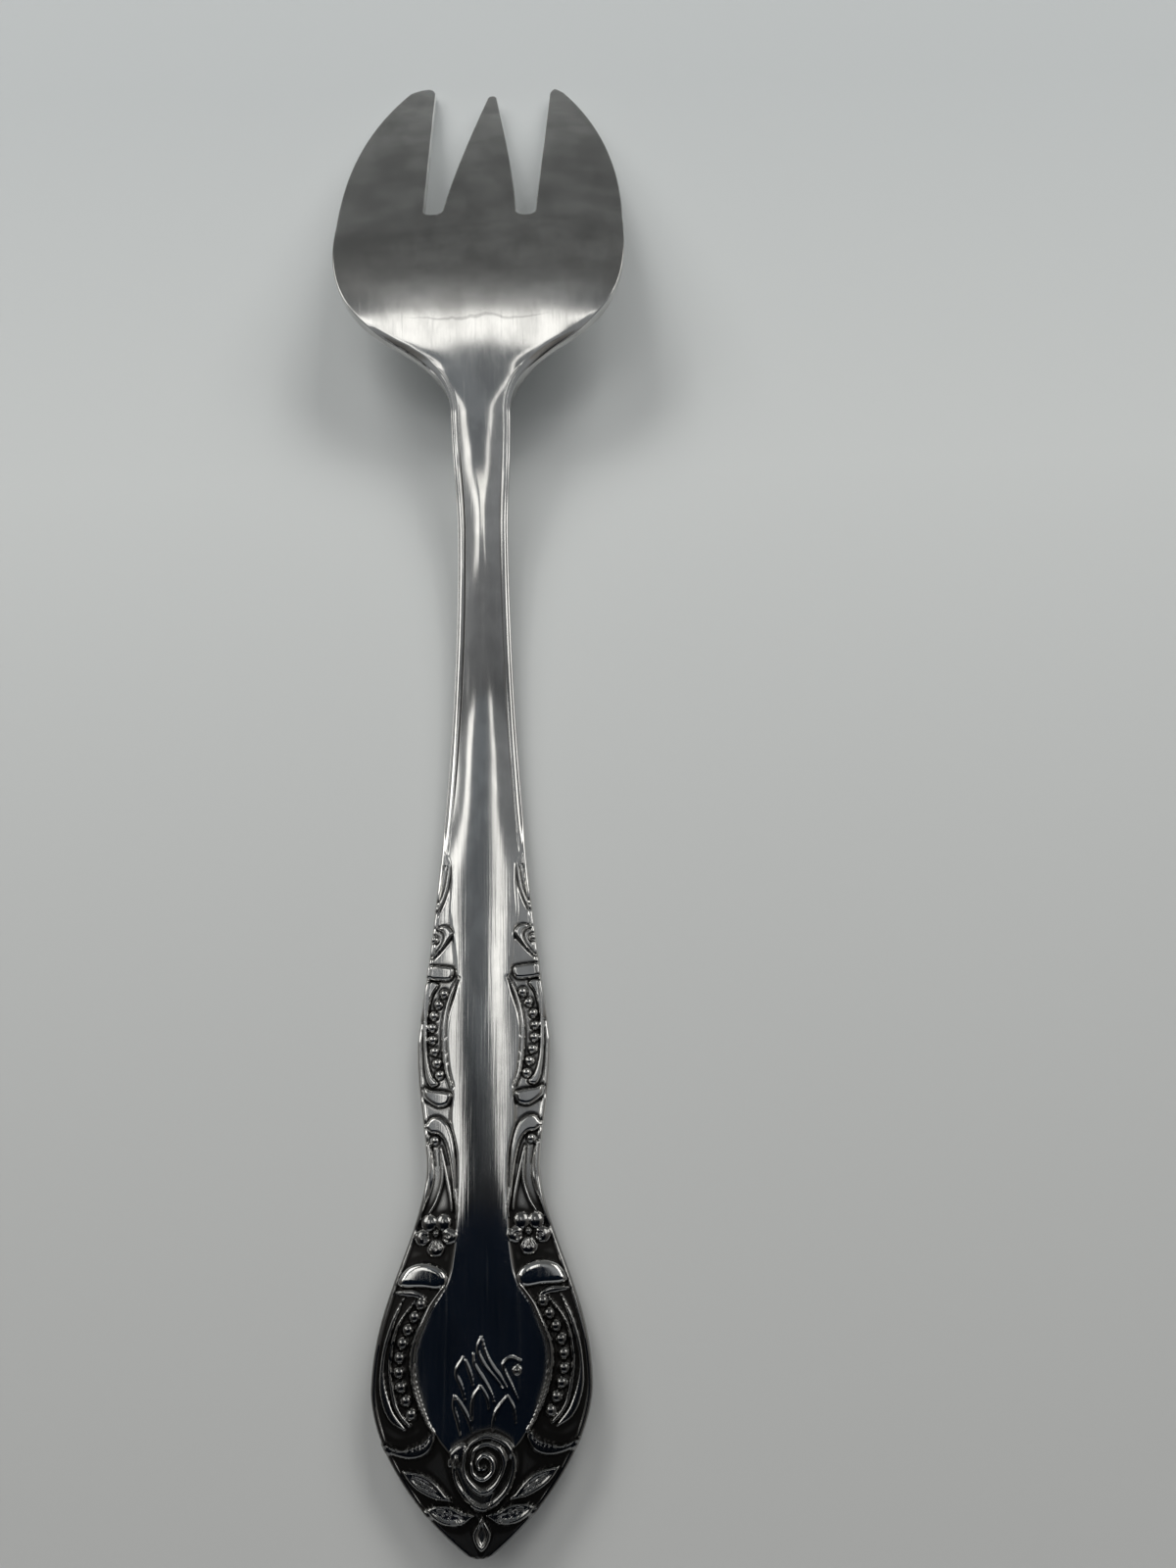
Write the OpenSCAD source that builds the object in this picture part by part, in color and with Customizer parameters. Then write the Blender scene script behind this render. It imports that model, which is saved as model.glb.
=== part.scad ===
// Serving fork struck from one steel blank: three tines, a dished head and an ornamented handle.
// It lies face down. Y runs from the handle's point to the tips, X is the width, Z is up.

/* [Lengths along the fork] */
// Handle's end, from its point to the waist
paddle_length = 39.8; // [34:0.2:48]
// Upper handle, from the waist to the end of its ornament
upper_handle_length = 37.2; // [33:0.2:46]
// Plain shank, from the ornament to its narrowest place
shank_length = 48; // [36:0.5:66]
// Neck, from the narrowest place to the root of the head
neck_length = 27.5; // [20:0.5:36]
// Last stretch of the neck, which flares out into the head
flare_length = 10; // [6:0.5:14]
// Bowl of the head, from its root to the bottoms of the gaps
bowl_length = 24.5; // [18:0.5:34]
// Outer tines, from the bottoms of the gaps to their tips
tine_length = 39; // [28:0.5:48]
// How much shorter the middle tine is than the outer ones
middle_tine_setback = 2; // [0:0.1:5]

/* [Widths] */
// Blunt end of the handle's point
point_width = 1.4; // [1:0.1:3]
// Handle's end at its widest
paddle_width = 24.8; // [22:0.2:32]
// Distance of that widest place from the point
paddle_widest = 16.3; // [12:0.1:20]
// Waist of the handle
waist_width = 13.5; // [12:0.1:18]
// Upper handle at its widest
upper_handle_width = 16.5; // [15:0.1:22]
// Distance of that widest place from the waist
upper_widest = 14.7; // [10:0.1:18]
// Shank at its narrowest
shank_width = 7.1; // [5:0.1:10]
// Neck where the flare begins
neck_width = 8.5; // [6:0.1:12]
// Root of the head, where the flare turns into the shoulder
root_width = 23; // [16:0.5:30]
// Head at its widest, level with the bottoms of the gaps
head_width = 43.6; // [36:0.2:56]
// Middle tine at its root
middle_tine_width = 11.2; // [8:0.1:14]
// Middle tine near its tip
middle_tip_width = 1; // [0.8:0.1:3]
// Gap between two tines at its bottom
gap_width = 2.9; // [2:0.1:5]
// Distance between the inner edges of the outer tines at the tips
tip_inner_spacing = 19.6; // [18:0.2:28]
// Outer tine just behind its round tip
tip_width = 2.2; // [1.6:0.1:6]
// How far the middle tine and the gaps lean to the right at the tips
gap_lean = 1.3; // [-1.5:0.1:1.5]
// How far the right tip stops short of the left one
right_tine_setback = 0.8; // [0:0.1:2]

/* [Heights and thickness] */
// Highest place of the head's back above the table
heel_height = 14; // [8:0.5:24]
// Roundness of the bend at the heel
heel_round = 6; // [3:0.5:12]
// Rise of the handle's point above its resting place
end_lift = 2.6; // [0.5:0.1:8]
// Handle along its middle
handle_thickness = 3; // [2.4:0.1:4]
// Handle at its point
point_thickness = 2.2; // [1.6:0.1:3]
// Neck along its middle
neck_thickness = 3.4; // [2.6:0.1:4.5]
// Bowl
head_thickness = 1.9; // [1.4:0.1:2.6]
// Tips of the tines
tip_thickness = 1.1; // [0.9:0.1:1.6]
// How far the handle's crown falls towards its edges, on each face
handle_crown = 0.6; // [0.3:0.05:0.9]
// How far the neck's crown falls towards its edges
neck_crown = 0.9; // [0.4:0.05:1.2]
// How far the head curves down towards its edges
head_dish = 1.3; // [0.5:0.1:3]
// Depth of the flat that the table has worn on the handle's face
rest_wear = 0.06; // [0.03:0.01:0.15]
// Rounding along every edge
edge_round = 0.4; // [0.2:0.05:0.5]

/* [Raised ornament] */
// Diameter of a bead
bead_diameter = 1.35; // [1:0.05:1.45]
// Height of a bead
bead_height = 0.5; // [0.3:0.05:0.6]
// Distance from bead to bead along a row
bead_pitch = 1.5; // [1.45:0.05:1.7]
// Beads in each row of the upper handle
upper_bead_count = 8; // [4:1:8]
// Beads in each row of the handle's end
lower_bead_count = 9; // [5:1:9]
// Height of leaves, scrolls and borders
relief_height = 0.4; // [0.2:0.05:0.6]
// Height of collars
collar_height = 0.6; // [0.4:0.05:0.8]
// Width of a border ridge
border_width = 0.7; // [0.5:0.05:0.9]
// Distance of the rose's middle from the handle's point
rose_from_point = 8.2; // [7.6:0.1:9]
// Radius of the rose
rose_radius = 3.1; // [2.4:0.1:3.2]
// Radius of a floret at the waist
floret_radius = 1.9; // [1.4:0.1:2]

/* [Hidden] */

$fn = 32;

// Stations along the fork, measured from the handle's point
rest_from_waist = 20;
heel_from_gaps = 11;
waist_y = paddle_length;
upper_y = waist_y + upper_widest;
rest_y = waist_y + rest_from_waist;
shank_y = waist_y + upper_handle_length;
neck_y = shank_y + shank_length;
flare_y = neck_y + neck_length - flare_length;
root_y = neck_y + neck_length;
gap_y = root_y + bowl_length;
top_y = gap_y - heel_from_gaps;
tip_y = gap_y + tine_length;
middle_tip_y = tip_y - middle_tine_setback;

// Steps that each zone is lofted in
along_steps = 20;
tip_steps = 6;
handle_across = 8;
tine_across = 6;
bowl_across = 18;

// Slow start and slow stop between 0 and 1
function ease(s) = s * s * (3 - 2 * s);

// Powers that shape the stretches of the outline and the spine
point_power = 1.75;
point_fullness = 0.87;
paddle_skew = 1.12;
waist_skew = 0.77;
shank_skew = 0.56;
flare_power = 2.25;
shoulder_power = 4.15;
outer_edge_power = 2.3;
middle_tine_power = 1.25;
lift_power = 2;
rise_skew = 2.3;

// Half of the fork's width at a station, tines and gaps taken as one outline
function point_curve(y) =
    pow(1 - pow((paddle_widest - y) / paddle_widest, point_power), point_fullness);
function blend(a, b, s) = (a + (b - a) * s) / 2;
function half_width(y) =
    y < paddle_widest ? blend(point_width, paddle_width, point_curve(y)) :
    y < waist_y ? blend(paddle_width, waist_width,
        ease(pow((y - paddle_widest) / (waist_y - paddle_widest), paddle_skew))) :
    y < upper_y ? blend(waist_width, upper_handle_width,
        ease(pow((y - waist_y) / upper_widest, waist_skew))) :
    y < neck_y ? blend(upper_handle_width, shank_width,
        ease(pow((y - upper_y) / (neck_y - upper_y), shank_skew))) :
    y < flare_y ? blend(shank_width, neck_width, ease((y - neck_y) / (flare_y - neck_y))) :
    y < root_y ? blend(neck_width, root_width, pow((y - flare_y) / flare_length, flare_power)) :
    y < gap_y ? blend(root_width, head_width, 1 - pow((gap_y - y) / bowl_length, shoulder_power)) :
    blend(head_width, tip_inner_spacing + 2 * tip_width, pow((y - gap_y) / tine_length, outer_edge_power));

// Height of the back along the middle: a lifted point, a long rise to the heel, a fall to the tips
rest_height = handle_thickness - rest_wear;
function fall(reach) = sqrt(reach * reach + heel_round * heel_round) - heel_round;
function spine(y) =
    y < rest_y ? rest_height + end_lift * pow((rest_y - y) / rest_y, lift_power) :
    y < top_y ? rest_height
        + (heel_height - rest_height) * ease(pow((y - rest_y) / (top_y - rest_y), rise_skew)) :
    heel_height - (heel_height - tip_thickness) * fall(y - top_y) / fall(tip_y - top_y);

function thickness(y) = lookup(y, [
    [0, point_thickness], [paddle_widest, handle_thickness],
    [shank_y + shank_length / 2, handle_thickness], [flare_y, neck_thickness],
    [root_y + bowl_length / 2, head_thickness], [gap_y, head_thickness], [tip_y, tip_thickness]]);

// Fall of the back and rise of the face from the middle to the edges
function back_fall(y) = lookup(y, [
    [0, handle_crown / 2], [paddle_widest, handle_crown], [shank_y, handle_crown],
    [neck_y, neck_crown], [root_y, neck_crown], [gap_y, head_dish], [tip_y, 0]]);
function face_rise(y) = lookup(y, [
    [0, handle_crown / 2], [paddle_widest, handle_crown], [neck_y, handle_crown],
    [flare_y, handle_crown / 2], [root_y, -neck_crown / 2], [gap_y, -head_dish], [tip_y, 0]]);

function across(x, y) = pow(x / half_width(y), 2);
function back_z(x, y) = spine(y) - back_fall(y) * across(x, y);
function face_z(x, y) = spine(y) - thickness(y) + face_rise(y) * across(x, y);

// Closed section of the blank between two widths, with its edges eased by at most a share of them
edge_share = 0.3;
function section(y, x1, x2, n) =
    let (e = min(edge_round, edge_share * (x2 - x1), edge_share * (back_z(x1, y) - face_z(x1, y))))
    let (inner = [for (k = [0 : n]) x1 + e + (x2 - x1 - 2 * e) * k / n])
    concat(
        [for (x = inner) [x, y, back_z(x, y)]],
        [[x2, y, back_z(x2, y) - e], [x2, y, face_z(x2, y) + e]],
        [for (k = [n : -1 : 0]) [inner[k], y, face_z(inner[k], y)]],
        [[x1, y, face_z(x1, y) + e], [x1, y, back_z(x1, y) - e]]);

function steps(a, b, n) = [for (i = [0 : n]) a + (b - a) * i / n];

// Solid skin over a row of sections that all have as many points
module loft(rings) {
    n = len(rings[0]);
    last = len(rings) - 1;
    sides = [for (i = [0 : last - 1]) for (k = [0 : n - 1])
        let (a = i * n + k, b = i * n + (k + 1) % n)
        each [[a, a + n, b + n], [a, b + n, b]]];
    ends = [[for (k = [0 : n - 1]) k], [for (k = [n - 1 : -1 : 0]) last * n + k]];
    polyhedron([for (r = rings) each r], concat(sides, ends));
}

// Puts the middle of the fork's length at the origin
module centred() {
    translate([0, -tip_y / 2, 0]) children();
}

// One zone of the blank over its whole width
module zone(stations, n) {
    centred() loft([for (y = stations) section(y, -half_width(y), half_width(y), n)]);
}

// The table's top, which wears the resting flat
module table() {
    translate([-paddle_width, -tip_y, -2 * handle_thickness])
        cube([2 * paddle_width, 2 * tip_y, 2 * handle_thickness]);
}

module paddle() {
    color("silver") zone(steps(0, waist_y, 2 * along_steps), handle_across);
}

module upper_handle() {
    color("silver") difference() {
        zone(steps(waist_y, shank_y, along_steps), handle_across);
        table();
    }
}

module shank() {
    color("silver") difference() {
        zone(steps(shank_y, neck_y, along_steps), handle_across);
        table();
    }
}

module neck() {
    color("lightgray") zone(steps(neck_y, root_y, along_steps), handle_across);
}

module bowl() {
    color("darkgray") zone(steps(root_y, gap_y, along_steps), bowl_across);
}

// Roundness of a tip: 1 behind its reach, falling off like a quarter circle, never quite to nothing
tip_reach = 1.8;
middle_tip_reach = 1.5;
tip_bluntness = 0.97;
// Share of an outer tine's width that lies inside the apex of its tip
tip_lean = 0.4;
function tip_round(y, end, reach) =
    sqrt(1 - pow(tip_bluntness * max(0, (y - end + reach) / reach), 2));
function tine_stations(end, reach) =
    concat(steps(gap_y, end - reach, along_steps / 2),
        [for (i = [1 : tip_steps]) end - reach + reach * i / tip_steps]);

function inner_edge(y) =
    let (root = middle_tine_width / 2 + gap_width)
    root + (tip_inner_spacing / 2 - root) * (y - gap_y) / tine_length;
function lean(y) = gap_lean * (y - gap_y) / tine_length;
function outer_tine_section(y, side, end) =
    let (inner = inner_edge(y) + side * lean(y))
    let (w = half_width(y) - inner, apex = inner + tip_lean * w)
    let (r = tip_round(y, end, tip_reach))
    section(y, apex - tip_lean * w * r, apex + (1 - tip_lean) * w * r, tine_across);

module outer_tine(side, end) {
    centred() loft([for (y = tine_stations(end, tip_reach)) outer_tine_section(y, side, end)]);
}

module right_tine() {
    color("darkgray") outer_tine(1, tip_y - right_tine_setback);
}

module left_tine() {
    color("darkgray") mirror([1, 0, 0]) outer_tine(-1, tip_y);
}

function middle_half(y) =
    let (t = (y - gap_y) / (middle_tip_y - gap_y))
    blend(middle_tine_width, middle_tip_width, pow(t, middle_tine_power))
        * tip_round(y, middle_tip_y, middle_tip_reach);

module middle_tine() {
    color("darkgray") centred()
        loft([for (y = tine_stations(middle_tip_y, middle_tip_reach))
            section(y, lean(y) - middle_half(y), lean(y) + middle_half(y), tine_across)]);
}

// Seats an ornament on the back at a place, square to the surface there
probe = 0.05;
module seat(x, y) {
    slope_x = (back_z(x + probe, y) - back_z(x - probe, y)) / (2 * probe);
    slope_y = (back_z(x, y + probe) - back_z(x, y - probe)) / (2 * probe);
    centred() translate([x, y, back_z(x, y)]) rotate([atan(slope_y), -atan(slope_x), 0]) children();
}

// Repeats an ornament on both sides of the fork's middle
module pair() {
    children();
    mirror([1, 0, 0]) children();
}

// Keeps what stands above the local surface
module above_ground(reach) {
    intersection() {
        children();
        translate([-reach, -reach, 0]) cube([2 * reach, 2 * reach, reach]);
    }
}

// Radius of a round that stands a given height over a foot of a given half width
function round_radius(foot, height) = (foot * foot + height * height) / (2 * height);

module dome(foot, height) {
    r = round_radius(foot, height);
    above_ground(3 * foot) translate([0, 0, height - r]) sphere(r);
}

// Half-round bar along X with round ends
module bar(length, width, height) {
    r = round_radius(width / 2, height);
    above_ground(length) translate([0, 0, height - r]) {
        rotate([0, 90, 0]) cylinder(r = r, h = length - width, center = true);
        for (s = [-1, 1]) translate([s * (length - width) / 2, 0, 0]) sphere(r);
    }
}

// Leaf along X, pointed at both ends
module leaf(length, width) {
    r = (length * length + width * width) / (4 * width);
    intersection() {
        translate([0, r - width / 2, 0]) cylinder(r = r, h = relief_height, $fn = 96);
        translate([0, width / 2 - r, 0]) cylinder(r = r, h = relief_height, $fn = 96);
    }
}

// Ridge along an arc about the local origin
module arc_ridge(radius, from, to, width) {
    rotate([0, 0, from]) rotate_extrude(angle = to - from, $fn = 96)
        translate([radius, 0]) intersection() {
            circle(d = width, $fn = 24);
            translate([-width / 2, 0]) square([width, relief_height]);
        }
}

// Bead rows of the upper handle lie on an arc that bulges towards the edge
upper_row_radius = 12.3;
upper_row_from_edge = 1.9;
upper_row_past_widest = 1.2;
upper_bead_step = bead_pitch / upper_row_radius * 180 / PI;
upper_row_x = upper_handle_width / 2 - upper_row_from_edge;
upper_row_y = upper_y + upper_row_past_widest;
function upper_bead_angle(i) = (i - (upper_bead_count - 1) / 2) * upper_bead_step;

module upper_beads() {
    color("gainsboro") pair() for (i = [0 : upper_bead_count - 1])
        seat(upper_row_x - upper_row_radius * (1 - cos(upper_bead_angle(i))),
            upper_row_y + upper_row_radius * sin(upper_bead_angle(i)))
            dome(bead_diameter / 2, bead_height);
}

border_clearance = 0.1;
border_overrun = 3;
border_gap = (bead_diameter + border_width) / 2 + border_clearance;
upper_border_reach = upper_bead_angle(upper_bead_count - 1) + border_overrun;

module upper_border() {
    color("gainsboro") pair() for (side = [-1, 1])
        seat(upper_row_x + side * border_gap, upper_row_y)
            translate([-upper_row_radius - side * border_gap, 0, 0])
                arc_ridge(upper_row_radius + side * border_gap,
                    -upper_border_reach, upper_border_reach, border_width);
}

// Collars close both ends of the upper rows
collar_width = 1.9;
upper_collar_length = 2.8;
upper_collar_inset = 0.65;
ornament_gap = 0.4;
upper_collar_y = upper_row_radius * sin(upper_border_reach) + collar_width / 2 + ornament_gap;

module upper_collars() {
    color("gainsboro") pair() for (side = [-1, 1])
        seat(upper_row_x - upper_collar_inset, upper_row_y + side * upper_collar_y)
            bar(upper_collar_length, collar_width, collar_height);
}

// Curls and slim leaves above the upper collars follow the narrowing edge
scroll_radius = 1.05;
scroll_from_edge = 1.7;
scroll_start = -100;
scroll_end = 190;
scroll_y = upper_row_y + upper_collar_y + collar_width / 2 + scroll_radius + 3 * ornament_gap;

module edge_scrolls() {
    color("gainsboro") pair() seat(half_width(scroll_y) - scroll_from_edge, scroll_y) {
        arc_ridge(scroll_radius, scroll_start, scroll_end, border_width);
        dome(scroll_radius / 2, relief_height);
    }
}

edge_leaf_length = 6.4;
edge_leaf_width = 1.3;
edge_leaf_from_edge = 1.3;
edge_leaf_turn = 102;
edge_leaf_y = scroll_y + scroll_radius + edge_leaf_length / 2 + 2 * ornament_gap;

module edge_leaves() {
    color("gainsboro") pair() seat(half_width(edge_leaf_y) - edge_leaf_from_edge, edge_leaf_y)
        rotate([0, 0, edge_leaf_turn]) leaf(edge_leaf_length, edge_leaf_width);
}

// Bead rows of the handle's end lie on one circle about its middle
lower_row_from_edge = 3.1;
lower_row_past_widest = 2.5;
lower_bead_lean = 4;
lower_row_radius = paddle_width / 2 - lower_row_from_edge;
lower_row_y = paddle_widest + lower_row_past_widest;
lower_bead_step = bead_pitch / lower_row_radius * 180 / PI;
function lower_bead_angle(i) = lower_bead_lean + (i - (lower_bead_count - 1) / 2) * lower_bead_step;
function lower_bead_y(i) = lower_row_y + lower_row_radius * sin(lower_bead_angle(i));

module lower_beads() {
    color("gainsboro") pair() for (i = [0 : lower_bead_count - 1])
        seat(lower_row_radius * cos(lower_bead_angle(i)), lower_bead_y(i))
            dome(bead_diameter / 2, bead_height);
}

module lower_border() {
    color("gainsboro") pair() for (side = [-1, 1])
        seat(lower_row_radius + side * border_gap, lower_row_y)
            translate([-lower_row_radius - side * border_gap, 0, 0])
                arc_ridge(lower_row_radius + side * border_gap, lower_bead_angle(0) - border_overrun,
                    lower_bead_angle(lower_bead_count - 1), border_width);
}

// Broad domed collars over the lower bead rows
shell_length = 5.4;
shell_width = 2.8;
shell_turn = -5;
shell_from_edge = 3.4;
shell_past_row = 3.1;
shell_y = lower_bead_y(lower_bead_count - 1) + shell_past_row;
shell_x = half_width(shell_y) - shell_from_edge;

module shell_collars() {
    color("gainsboro") pair() seat(shell_x, shell_y) rotate([0, 0, shell_turn])
        bar(shell_length, shell_width, collar_height);
}

// Five-petalled florets below the waist
petal_count = 5;
petal_share = 0.4;
floret_from_edge = 3;
floret_past_shell = 4.3;
floret_y = shell_y + floret_past_shell;
floret_x = half_width(floret_y) - floret_from_edge;

module florets() {
    color("gainsboro") pair() seat(floret_x, floret_y) {
        for (i = [0 : petal_count - 1]) rotate([0, 0, 90 + i * 360 / petal_count])
            translate([floret_radius * (1 - petal_share), 0, 0])
                dome(floret_radius * petal_share, relief_height);
        dome(floret_radius * petal_share, bead_height);
    }
}

// Hooded arches over a bead stand at the waist, with two stems that run down from each
hood_radius = 1.35;
hood_from_edge = 1.2;
hood_past_waist = 3.4;
hood_start = -20;
hood_end = 200;
hood_x = waist_width / 2 - hood_from_edge;
hood_y = waist_y + hood_past_waist;

module waist_hoods() {
    color("gainsboro") pair() seat(hood_x, hood_y) {
        arc_ridge(hood_radius, hood_start, hood_end, border_width);
        dome(bead_diameter / 2, bead_height);
    }
}

stem_floret_gap = 1.65;
stem_length = hood_y - hood_radius - floret_y - floret_radius - stem_floret_gap;
stem_width = 0.7;
stem_insets = [2, 0.6];
stem_turns = [82, 94];
stem_y = hood_y - hood_radius - stem_length / 2;

module waist_stems() {
    color("gainsboro") pair() for (i = [0, 1])
        seat(hood_x - stem_insets[i], stem_y) rotate([0, 0, stem_turns[i]])
            bar(stem_length, stem_width, relief_height);
}

// Long collars below the lower rows
lower_collar_length = 5.2;
lower_collar_turn = -12;
lower_collar_from_edge = 3.3;
lower_collar_before_row = 2.6;
lower_collar_y = lower_bead_y(0) - lower_collar_before_row;
lower_collar_x = half_width(lower_collar_y) - lower_collar_from_edge;

module lower_collars() {
    color("gainsboro") pair() seat(lower_collar_x, lower_collar_y) rotate([0, 0, lower_collar_turn])
        bar(lower_collar_length, collar_width, collar_height);
}

// Rose at the handle's end: rings of petals about a round heart
rose_rings = [1, 0.66, 0.34];
rose_heart = 0.2;

module rose() {
    color("gainsboro") seat(0, rose_from_point) {
        for (share = rose_rings)
            arc_ridge(rose_radius * share - border_width / 2, 0, 360, border_width);
        dome(rose_radius * rose_heart, bead_height);
    }
}

// Plume of flame-shaped leaves above the rose: each has its place, its turn and its length
plume_y = rose_from_point + rose_radius;
plume_width = 1.5;
plume_leaves = [
    [-2.9, 3.6, 112, 5], [-1, 5.6, 100, 7.6], [0.9, 3.4, 70, 5.2],
    [2.9, 3.8, 60, 5], [1.7, 8.2, 110, 4.4]];

module plume() {
    color("gainsboro") for (p = plume_leaves)
        seat(p[0], plume_y + p[1]) rotate([0, 0, p[2]]) leaf(p[3], plume_width);
}

// Leaves spread below the rose: each has its share of the half width, its distance before the rose's
// middle, its turn and its length
leaf_width = 2;
rose_leaf_places = [[0.66, 1.4, 29, 6.1], [0.49, 4.1, 9, 5.3]];

module rose_leaves() {
    color("gainsboro") pair() for (p = rose_leaf_places)
        seat(p[0] * half_width(rose_from_point - p[1]), rose_from_point - p[1])
            rotate([0, 0, p[2]]) leaf(p[3], leaf_width);
}

end_leaf_length = 3.1;
end_leaf_from_point = 0.6;

module end_leaf() {
    color("gainsboro") seat(0, end_leaf_from_point + end_leaf_length / 2)
        rotate([0, 0, 90]) leaf(end_leaf_length, leaf_width);
}

paddle();
upper_handle();
shank();
neck();
bowl();
left_tine();
middle_tine();
right_tine();
upper_beads();
upper_border();
upper_collars();
edge_scrolls();
edge_leaves();
waist_hoods();
waist_stems();
florets();
shell_collars();
lower_beads();
lower_border();
lower_collars();
plume();
rose();
rose_leaves();
end_leaf();
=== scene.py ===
import math

import bpy
import numpy as np
from mathutils import Matrix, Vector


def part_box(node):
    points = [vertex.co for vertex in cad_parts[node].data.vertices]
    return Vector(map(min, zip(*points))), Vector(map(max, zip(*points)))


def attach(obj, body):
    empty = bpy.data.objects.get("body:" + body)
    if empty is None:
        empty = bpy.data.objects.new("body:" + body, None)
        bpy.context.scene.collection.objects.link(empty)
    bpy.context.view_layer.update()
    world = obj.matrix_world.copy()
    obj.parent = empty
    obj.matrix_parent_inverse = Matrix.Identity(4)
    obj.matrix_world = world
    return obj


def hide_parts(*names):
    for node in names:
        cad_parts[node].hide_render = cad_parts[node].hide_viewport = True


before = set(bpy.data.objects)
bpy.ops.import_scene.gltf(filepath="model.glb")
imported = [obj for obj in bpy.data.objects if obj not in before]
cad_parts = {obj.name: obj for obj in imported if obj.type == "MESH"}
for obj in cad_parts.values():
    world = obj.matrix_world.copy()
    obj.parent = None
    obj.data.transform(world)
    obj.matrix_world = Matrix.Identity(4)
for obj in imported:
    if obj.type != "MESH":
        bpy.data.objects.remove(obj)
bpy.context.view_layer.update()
bpy.ops.object.select_all(action="DESELECT")

# Handle's end: the broad lower half of the handle, one with the rest of the steel blank.
# It is struck between two dies, which raise bead rows, collars, florets, a rose, leaves and a plume,
# and it is then polished, so the high places shine. The dark in its hollows and on the sides of its raised
# work is part patina and part painted shade.
point = 1000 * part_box("paddle")[0].y
waist, narrows, neck_end, root, gaps, tips = (
    1000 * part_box(node)[1].y - point
    for node in ("paddle", "upper_handle", "shank", "neck", "bowl", "left_tine"))
widest, bulge, rest_place, flare, heel = 16.3, waist + 14.7, waist + 20, root - 10, gaps - 11
point_width, paddle_width, waist_width, bulge_width = 1.4, 24.8, 13.5, 16.5
shank_width, neck_width, root_width, head_width, tip_spread = 7.1, 8.5, 23.0, 43.6, 24.0
heel_height, heel_round, end_lift, rest_height = 14.0, 6.0, 2.6, 2.94
end_power, end_round, waist_power, bulge_power, shank_power = 1.75, 0.87, 1.12, 0.77, 0.56
root_power, shoulder_power, outer_edge_power, rise_power = 2.25, 4.15, 2.3, 2.3
edge_radius, nose_length, roof_round, tip_thickness = 0.45, 0.5, 0.3, 1.1
side_lag, lag_width = 2.6, 14


def ease(s):
    return s * s * (3 - 2 * s)


def share(y, start, end):
    return np.clip((y - start) / (end - start), 0, 1)


def half_width(y):
    y = np.asarray(y, float)
    stretches = [
        (widest, point_width, paddle_width, (1 - (1 - share(y, 0, widest)) ** end_power) ** end_round),
        (waist, paddle_width, waist_width, ease(share(y, widest, waist) ** waist_power)),
        (bulge, waist_width, bulge_width, ease(share(y, waist, bulge) ** bulge_power)),
        (neck_end, bulge_width, shank_width, ease(share(y, bulge, neck_end) ** shank_power)),
        (flare, shank_width, neck_width, ease(share(y, neck_end, flare))),
        (root, neck_width, root_width, share(y, flare, root) ** root_power),
        (gaps, root_width, head_width, 1 - (1 - share(y, root, gaps)) ** shoulder_power),
        (np.inf, head_width, tip_spread, share(y, gaps, tips) ** outer_edge_power)]
    widths = [(start + (end - start) * s) / 2 for _, start, end, s in stretches]
    return np.select([y < end for end, *_ in stretches], widths)


def edge_slant(y, probe=0.05):
    return np.hypot(1, (half_width(y + probe) - half_width(y - probe)) / (2 * probe))


def spine(y):
    y = np.asarray(y, float)
    reach, drop = np.maximum(y - heel, 0), tips - heel
    fall = (np.hypot(reach, heel_round) - heel_round) / (math.hypot(drop, heel_round) - heel_round)
    lifted_end = rest_height + end_lift * (1 - share(y, 0, rest_place)) ** 2
    rise = rest_height + (heel_height - rest_height) * ease(share(y, rest_place, heel) ** rise_power)
    falling = heel_height - (heel_height - tip_thickness) * fall
    return np.select([y < rest_place, y < heel], [lifted_end, rise], falling)


def along(y, *knots):
    out = np.full(np.shape(y), float(knots[0][1]))
    for (a, va), (b, vb) in zip(knots, knots[1:]):
        out = np.where(y >= a, va + (vb - va) * ease(share(y, a, b)), out)
    return out


def lagging(x, y):
    on_head = along(y, (root - 5, 0), (root + 2, 1), (heel - 3, 1), (gaps + 8, 0))
    return y - side_lag * (1 - np.exp(-(x / lag_width) ** 2)) * on_head


def roof_slope(y):
    return along(y, (narrows - 2, 0), (narrows + 14, 0.2), (neck_end - 20, 0.26), (root - 2, 0.26),
                 (root + 4, 0))


def back(x, y):
    t = np.abs(x) / half_width(y)
    crown = along(y, (0, 0.3), (widest, 0.6), (waist - 6, 0.75), (bulge, 1.1), (narrows, 0.55),
                  (narrows + 26, 0), (root, 0), (gaps, 1.3), (tips, 0))
    facet = along(y, (narrows - 2, 3), (narrows + 9, 2.3), (neck_end - 24, 1.3), (neck_end - 10, 0.8),
                  (neck_end + 3, 0.2), (neck_end + 11, 1.5), (root - 10, 2.1), (root - 3.5, 5.5),
                  (root + 2, 13))
    soft = along(y, (neck_end, 1), (neck_end + 8, 1.5), (root, 0.9))
    slope = roof_slope(y)
    beyond = np.hypot(x, roof_round) - facet
    return spine(lagging(x, y)) - crown * t ** 2 - slope * (beyond + np.hypot(beyond, soft)) / 2


def face(x, y):
    t = np.abs(x) / half_width(y)
    thick = along(y, (0, 2.2), (widest, 3), (narrows + 24, 3), (flare, 3.4), (root + 12, 1.9), (gaps, 1.9),
                  (tips, tip_thickness))
    rise = along(y, (0, 0.3), (widest, 0.6), (neck_end, 0.6), (flare, 0.8), (root, 1), (root + 8, 0.2),
                 (gaps, -1.3), (tips, 0))
    return spine(lagging(x, y)) - thick + rise * t ** 2


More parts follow.
